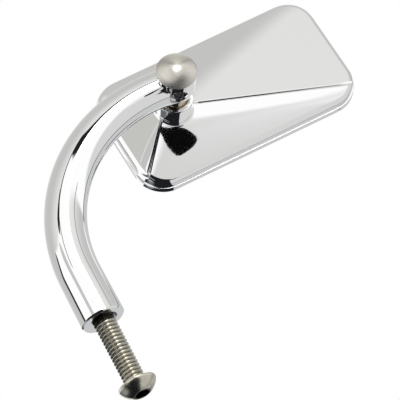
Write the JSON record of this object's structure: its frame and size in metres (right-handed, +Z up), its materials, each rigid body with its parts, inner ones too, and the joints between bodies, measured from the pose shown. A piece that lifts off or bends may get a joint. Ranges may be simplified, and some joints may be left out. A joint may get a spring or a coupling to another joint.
{
  "type": "motorcycle mirror",
  "caption": "Handlebar mirror with a curved tapered chrome stem, a ball-jointed post and a rectangular head with a pyramid back, bolted to a perch by its foot.",
  "frame": {"origin": "centre of the stem's foot face, on the axis of the mounting screw", "axes": "+Z up the foot of the stem, +X the way the stem bends (outboard), +Y the way the glass faces (rearward)"},
  "size_m": [0.1382, 0.0421, 0.1322],
  "materials": {
    "stem_chrome": "polished chrome plate",
    "housing_chrome": "polished chrome plate",
    "post_stainless": "fine turned",
    "screw_stainless": "satin",
    "grub_steel": "satin",
    "seat_plastic": "moulded",
    "spring_steel": "oiled",
    "plug_steel": "zinc plated",
    "pad_foam": "matt foam",
    "mirror_silver": "silvered glass"
  },
  "bodies": {
    "stem_body": {"stem": "stem_chrome", "mounting_screw": "screw_stainless", "grub_screw": "grub_steel"},
    "post": {"dome_cap": "post_stainless", "ball_stud": "post_stainless"},
    "ball_seat": {"ball_seat_ring": "seat_plastic", "ball_seat_cup": "seat_plastic"},
    "head": {"mirror_housing": "housing_chrome", "disc_springs": "spring_steel", "retaining_plug": "plug_steel", "glass_pad": "pad_foam", "mirror_glass": "mirror_silver"}
  },
  "joints": [
    {"name": "post_swivel", "type": "hinge", "parent": "stem_body", "child": "post", "pos_m": [0.063, 0, 0.074], "axis": [0, 1, 0], "range_deg": [-90, 90]},
    {"name": "head_tilt", "type": "hinge", "parent": "post", "child": "ball_seat", "pos_m": [0.063, 0.0122, 0.074], "axis": [1, 0, 0], "range_deg": [-14, 14]},
    {"name": "head_spin", "type": "hinge", "parent": "ball_seat", "child": "head", "pos_m": [0.063, 0.0122, 0.074], "axis": [0, 1, 0], "range_deg": [-180, 180]}
  ]
}
